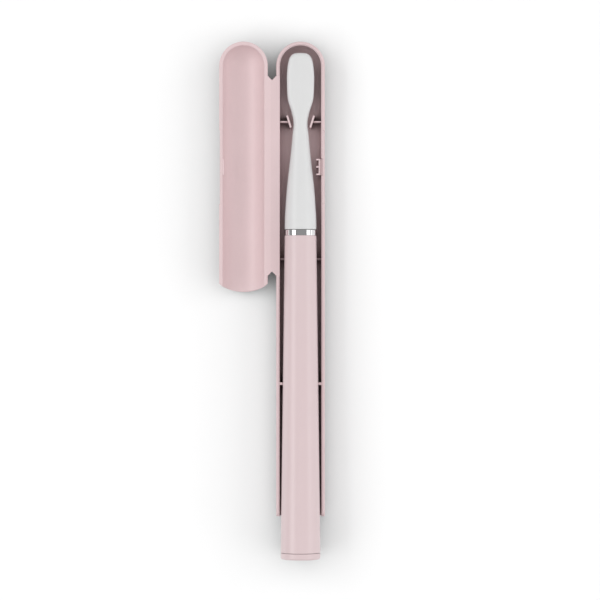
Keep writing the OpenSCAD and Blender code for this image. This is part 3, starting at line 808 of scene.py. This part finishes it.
V, F = lathe(shell_profile(), 160)
handle = make("handle_body", V, F, M_handle, "brush", ["handle_shell"], angle=30)
fz = AZ - handle_r(BTN_Y)
c1 = plain("cut_a", *post(BTN_Y, fz - 1.5, AZ - 3.0, BTN_R + 0.15))
c2 = plain("cut_b", *post(BTN_Y - 8.2, fz - 1.5, AZ - 3.0, 0.95, 40))
cut(handle, [c1, c2])
handle.data.set_sharp_from_angle(angle=math.radians(30))


def button():
    """Round cap that follows the handle's curve, with a shallow dimple and a rounded edge."""
    hr = handle_r(BTN_Y) + 0.3
    rings = [(0.0, 0), (0.4, 0), (0.9, 0), (1.4, 0), (1.8, 0), (2.05, 0), (2.3, 0), (2.6, 0), (2.85, 0), (3.0, 0), (3.1, 0.04), (3.17, 0.10), (3.2, 0.2)]
    segs = 72
    V, F = [], []
    for rr, drop in rings:
        dim = 0.22 * (1 - min(1.0, rr / 2.2) ** 2) ** 2 if rr < 2.2 else 0.0
        for i in range(segs):
            a = 2 * math.pi * i / segs
            x, y = rr * math.cos(a), rr * math.sin(a)
            z = -math.sqrt(hr * hr - x * x) + drop + dim
            V.append((CX + x, BTN_Y + y, AZ + z))
    zb = fz + 1.3
    for rr, z in ((3.2, zb - 0.1), (3.1, zb), (0.0, zb)):
        for i in range(segs):
            a = 2 * math.pi * i / segs
            V.append((CX + rr * math.cos(a), BTN_Y + rr * math.sin(a), z))
    F = grid_faces(len(rings) + 3, segs, close_cols=True)
    return V, F


V, F = button()
make("power_button_cap", V, F, M_handle, "button", ["power_button"], angle=40)


def lens():
    cy = BTN_Y - 8.2
    hr = handle_r(cy) - 0.03
    rings = [0.0, 0.3, 0.55, 0.72, 0.82, 0.88, 0.9]
    segs = 40
    V = []
    for j, rr in enumerate(rings):
        for i in range(segs):
            a = 2 * math.pi * i / segs
            x, y = rr * math.cos(a), rr * math.sin(a)
            V.append((CX + x, cy + y, AZ - math.sqrt(hr * hr - x * x) + 0.10 * (rr / 0.9) ** 4))
    zb = fz + 2.42
    for rr in (0.9, 0.0):
        for i in range(segs):
            a = 2 * math.pi * i / segs
            V.append((CX + rr * math.cos(a), cy + rr * math.sin(a), zb))
    return V, grid_faces(len(rings) + 2, segs, close_cols=True)


V, F = lens()
make("indicator_window", V, F, M_lens, "brush", ["indicator_lens"], angle=40)

# metal ring
P = rounded([(4.95, HY1 + 0.0), (HR1, HY1 + 0.0), (HR1, RY1), (4.95, RY1)], [0, 0.16, 0.16, 0], 5)
P = subdivide_profile(P, 0.7)
V, F = lathe(P, 160)
make("chrome_ring", V, F, M_chrome, "brush", ["metal_ring"], angle=40)


def cap_profile():
    e = SEAM - 0.12
    P = [(3.5, FOOT), (HR0, FOOT), (HR0, e), (6.9, e), (6.9, FOOT + 4.2), (6.3, FOOT + 4.2), (6.3, FOOT + 5.4), (6.9, FOOT + 5.4), (6.9, FOOT + 6.6),
         (4.5, FOOT + 6.6), (4.5, FOOT + 11.0), (0.0, FOOT + 11.0), (0.0, FOOT + 10.0), (3.5, FOOT + 10.0)]
    R = [0.35, 1.0, 0.2, 0, 0.05, 0.05, 0.05, 0.05, 0.3, 0.2, 0.2, 0, 0, 0.2]
    return P, R


P, R = cap_profile()
Q = rounded(P, R, 6)
Q = subdivide_profile(Q, 0.9)
V, F = lathe(Q, 160)
make("foot_cap_moulding", V, F, M_handle, "brush", ["foot_cap"], angle=40)

# ---------------------------------------------------------------- brush head
STEM0 = RY1 + 0.2
STEM = [
    [STEM0, 7.03, 7.03, 7.03, 2.0], [36, 6.98, 6.95, 6.95, 2.0], [40, 6.78, 6.62, 6.68, 2.0],
    [45, 6.45, 6.15, 6.3, 2.0], [49, 6.15, 5.7, 5.95, 2.0], [53, 5.76, 5.2, 5.5, 2.0],
    [58, 5.2, 4.6, 4.9, 2.0], [63, 4.62, 4.0, 4.35, 2.05], [67, 4.18, 3.6, 3.95, 2.1],
    [71, 3.8, 3.25, 3.6, 2.15], [74.5, 3.5, 3.02, 3.3, 2.2], [77.6, 3.14, 2.84, 3.0, 2.25],
    [79.5, 3.18, 2.78, 2.78, 2.3], [82, 3.6, 2.72, 2.48, 2.35], [84.6, 4.24, 2.66, 2.15, 2.45],
    [87, 5.02, 2.6, 1.85, 2.6], [89, 5.6, 2.55, 1.68, 2.8], [90.8, 5.83, 2.5, 1.6, 3.0],
    [94, 5.99, 2.46, 1.58, 3.1], [99, 6.1, 2.42, 1.58, 3.1], [102, 5.95, 2.4, 1.58, 3.0],
    [104.6, 5.68, 2.35, 1.56, 2.8], [106.8, 5.22, 2.25, 1.5, 2.6], [108.4, 4.5, 2.0, 1.3, 2.4],
    [109.4, 3.5, 1.6, 1.0, 2.2], [109.9, 2.3, 1.05, 0.6, 2.1], [110.05, 1.0, 0.5, 0.25, 2.0]]


def smooth_stations():
    """The stations joined by a shape-keeping cubic, closer together towards the tip."""
    S = np.array(STEM, float)
    y = S[:, 0]
    h = np.diff(y)
    out = []
    yy = list(np.arange(STEM0, 106.0, 0.75)) + list(np.arange(106.0, 109.2, 0.3)) + [109.2, 109.4, 109.6, 109.75, 109.87, 109.95, 110.0, 110.03, 110.05]
    cols = []
    for c in range(1, 5):
        v = S[:, c]
        d = np.diff(v) / h
        m = np.zeros(len(y))
        for i in range(1, len(y) - 1):
            if d[i - 1] * d[i] > 0:
                w1, w2 = 2 * h[i] + h[i - 1], h[i] + 2 * h[i - 1]
                m[i] = (w1 + w2) / (w1 / d[i - 1] + w2 / d[i])
        m[-1] = d[-1]
        q = []
        for t in yy:
            i = int(np.clip(np.searchsorted(y, t, side="right") - 1, 0, len(h) - 1))
            s = (t - y[i]) / h[i]
            q.append((1 + 2 * s) * (1 - s) ** 2 * v[i] + s * (1 - s) ** 2 * h[i] * m[i] + s * s * (3 - 2 * s) * v[i + 1] + s * s * (s - 1) * h[i] * m[i + 1])
        cols.append(q)
    # a round nose for the last half millimetre
    return [(t, *[cols[c][i] for c in range(4)]) for i, t in enumerate(yy)]


def stem_mesh():
    segs = 96
    V = []
    rows = 0

    def ring(y, w, back, front, n):
        nonlocal rows
        for i in range(segs):
            a = 2 * math.pi * i / segs
            ca, sa = math.cos(a), math.sin(a)
            x = w * math.copysign(abs(ca) ** (2 / n), ca)
            z = (back if sa > 0 else front) * math.copysign(abs(sa) ** (2 / n), sa)
            V.append((CX + x, y, AZ + z))
        rows += 1

    # inside of the socket, out through the recess and round the lower edge
    for y, r in ((54.0, 0.0), (54.0, 3.5), (STEM0 + 2.2, 3.5), (STEM0 + 2.2, 5.6), (STEM0 + 0.12, 5.6), (STEM0 + 0.03, 5.65), (STEM0, 5.75), (STEM0, 6.75)):
        ring(y, r, r, r, 2.0)
    for a in (30, 60):
        r = 7.03 - 0.28 * (1 - math.sin(math.radians(a)))
        ring(STEM0 + 0.28 * (1 - math.cos(math.radians(a))), r, r, r, 2.0)
    st = smooth_stations()
    for s in st:
        if s[0] < STEM0 + 0.28:
            continue
        ring(*s)
    ring(110.055, 0.0, 0.0, 0.0, 2.0)
    return V, grid_faces(rows, segs, close_cols=True)


V, F = stem_mesh()
make("stem_and_head", V, F, M_head, "head", ["brush_stem"], angle=50)


def bristles():
    """Filaments in round tufts: each is a thin rod with a rounded tip, packed in rings and leaning a little."""
    rnd = random.Random(7)
    V, F = [], []
    rows, pitch = 10, 2.05
    sides = 5
    fr = 0.088
    for i in range(rows):
        n = 3 if i in (0, rows - 1) else (4 if i % 2 else 5)
        px = 2.1 if i % 2 else 2.0
        for k in range(n):
            x0, y0 = (k - (n - 1) / 2) * px, 88.6 + i * pitch
            drop = 10.4 - 0.05 * x0 * x0
            spots = [(0.0, 0.0)]
            for ring, cnt in ((0.205, 6), (0.40, 12), (0.595, 18)):
                off = rnd.random() * 6.28
                spots += [(ring * math.cos(off + 2 * math.pi * j / cnt), ring * math.sin(off + 2 * math.pi * j / cnt)) for j in range(cnt)]
            for sx, sy in spots:
                bx, by = x0 + sx + rnd.uniform(-0.012, 0.012), y0 + sy + rnd.uniform(-0.012, 0.012)
                lean = 0.07
                tx = bx + sx * lean + rnd.gauss(0, 0.035)
                ty = by + sy * lean + rnd.gauss(0, 0.035)
                tz = -drop + abs(rnd.gauss(0, 0.07))
                tz = max(tz, -10.39)
                base = len(V)
                turn = rnd.random() * 6.28
                levels = [(-0.9, 0.0, 1.0), (-5.0, 0.45, 1.0), (tz + 0.10, 0.99, 1.0), (tz + 0.03, 1.0, 0.78), (tz, 1.0, 0.0)]
                for z, f, rr in levels[:-1]:
                    cxx, cyy = bx + (tx - bx) * f * f, by + (ty - by) * f * f
                    for s in range(sides):
                        a = turn + 2 * math.pi * s / sides
                        V.append((CX + cxx + fr * rr * math.cos(a), cyy + fr * rr * math.sin(a), AZ + z))
                V.append((CX + tx, ty, AZ + tz))
                V.append((CX + bx, by, AZ - 0.9))
                m = len(levels) - 1
                for q in range(m - 1):
                    for s in range(sides):
                        s2 = (s + 1) % sides
                        F.append((base + q * sides + s, base + q * sides + s2, base + (q + 1) * sides + s2, base + (q + 1) * sides + s))
                tip, root = base + m * sides, base + m * sides + 1
                for s in range(sides):
                    s2 = (s + 1) % sides
                    F.append((base + (m - 1) * sides + s, base + (m - 1) * sides + s2, tip))
                    F.append((base + s2, base + s, root))
    return V, F


V, F = bristles()
me = bpy.data.meshes.new("bristle_field")
me.from_pydata([tuple(c * MM for c in v) for v in V], [], F)
bm = bmesh.new()
bm.from_mesh(me)
bmesh.ops.recalc_face_normals(bm, faces=bm.faces)
bm.to_mesh(me)
bm.free()
me.shade_smooth()
me.materials.append(M_nylon)
o = bpy.data.objects.new("bristle_field", me)
scene.collection.objects.link(o)
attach(o, "head")
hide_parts("bristle_tufts")

# ---------------------------------------------------------------- carried-over CAD nodes
KEEP = {
    "foot_cap_seal": (M_rubber, "dark_rubber"), "nose_plug": (M_inner, "inner_plastic"), "shaft_seal": (M_rubber, "dark_rubber"),
    "button_pad": (M_rubber, "dark_rubber"), "chassis": (M_inner, "inner_plastic"), "circuit_board": (M_board, "board"),
    "board_screws": (M_steel, "steel"), "control_chips": (M_chip, "chip_plastic"), "status_led": (M_led, "led_lens"),
    "tact_switch": (M_chip, "chip_plastic"), "switch_plunger": (M_inner, "inner_plastic"), "battery_cell": (M_cell, "cell_sleeve"),
    "battery_foam": (M_foam, "foam"), "battery_tabs": (M_steel, "steel"), "motor_can": (M_steel, "steel"),
    "front_bearing": (M_bronze, "bronze"), "rear_bearing": (M_bronze, "bronze"), "stator_core": (M_steel, "steel"),
    "stator_coil": (M_copper, "copper_wire"), "torsion_rod": (M_steel, "steel"), "drive_shaft": (M_steel, "steel"),
    "rotor_yoke": (M_steel, "steel"), "shaft_collar": (M_steel, "steel"), "rotor_magnets": (M_magnet, "magnet"),
    "motor_leads": (M_lead, "lead_sleeve"), "charging_coil": (M_copper, "copper_wire"), "coil_former": (M_inner, "inner_plastic"),
    "ferrite_core": (M_ferrite, "ferrite"), "coil_leads": (M_copper, "copper_wire"), "shaft_socket": (M_socket, "inner_plastic"),
}
for name, (mat, slot) in KEEP.items():
    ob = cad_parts[name]
    ob.data.materials.clear()
    ob.data.materials.append(mat)
    ob.data.shade_smooth()
    ob.data.set_sharp_from_angle(angle=math.radians(30))

# ---------------------------------------------------------------- floor, light, camera
def floor():
    m, nt, b = mat_new("floor_white", (0.95, 0.95, 0.95), 0.9, spec=0.05)
    # painted shadow: the floor's colour is darkened where an occlusion test finds the object close by, standing in for
    # its contact shadow, and tinted towards green-blue against the pink bounce light
    ao = nt.nodes.new("ShaderNodeAmbientOcclusion")
    ao.samples = 16
    ao.inputs["Distance"].default_value = 0.045
    nt.links.new(ramp(nt, ao.outputs["AO"], [(0.0, (0.60, 0.68, 0.675)), (1.0, (0.95, 0.95, 0.95))]), b.inputs["Base Color"])
    n = 24
    V, F = [], []
    for i in range(n + 1):
        for k in range(n + 1):
            V.append(((i / n - 0.5) * 3000 + 12, (k / n - 0.5) * 3000, -0.02))
    F = grid_faces(n + 1, n + 1)
    me = bpy.data.meshes.new("floor")
    me.from_pydata([tuple(c * MM for c in v) for v in V], [], F)
    me.materials.append(m)
    ob = bpy.data.objects.new("floor", me)
    scene.collection.objects.link(ob)
    return m


floor()


def area(name, loc, target, sx, sy, power, colour=(1, 1, 1)):
    d = bpy.data.lights.new(name, "AREA")
    d.shape, d.size, d.size_y, d.energy, d.color = "RECTANGLE", sx, sy, power, colour
    ob = bpy.data.objects.new(name, d)
    scene.collection.objects.link(ob)
    ob.location = loc
    z = (Vector(loc) - Vector(target)).normalized()
    x = Vector((0, 1, 0)).cross(z).normalized()
    ob.rotation_mode = "QUATERNION"
    ob.rotation_quaternion = Matrix((x, z.cross(x), z)).transposed().to_quaternion()
    return ob


mid = (CX * MM, 0.0, 0.012)


def at(angle, dist, y=0.0):
    """A point above the middle, leaning by angle from the vertical towards +X."""
    a = math.radians(angle)
    return (mid[0] + dist * math.sin(a), y, mid[2] + dist * math.cos(a))


def strip(name, angle, spread, dist, length, radiance):
    """A long soft box beside the object: spread is its width in degrees as the object sees it."""
    wide = 2 * dist * math.tan(math.radians(spread / 2))
    return area(name, at(angle, dist), mid, wide, length, math.pi * wide * length * radiance)


strip("soft_left", -50, 26, 1.9, 2.6, 2.1)
strip("soft_right", 60, 28, 1.9, 2.6, 1.6)
strip("low_right", 86, 12, 1.9, 2.6, 1.2)
overhead = area("overhead", (mid[0], 0.0, 3.2), mid, 6.0, 6.0, math.pi * 36.0 * 0.745)
overhead.visible_glossy = False

w = bpy.data.worlds.new("studio")
scene.world = w
w.use_nodes = True
w.node_tree.nodes["Background"].inputs["Color"].default_value = (1, 1, 1, 1)
w.node_tree.nodes["Background"].inputs["Strength"].default_value = 0.35

cam_d = bpy.data.cameras.new("camera")
cam = bpy.data.objects.new("camera", cam_d)
scene.collection.objects.link(cam)
DIST = 1.45
cam_d.sensor_width = 36.0
cam_d.lens = 36.0 * DIST / (600 * 0.000445)
cam_d.clip_start, cam_d.clip_end = 0.05, 20.0
cam.location = ((300 - 272.0) * 0.000445, (300.3 - 300) * 0.000445, 0.012 + DIST)
cam.rotation_euler = (0, 0, 0)
scene.camera = cam
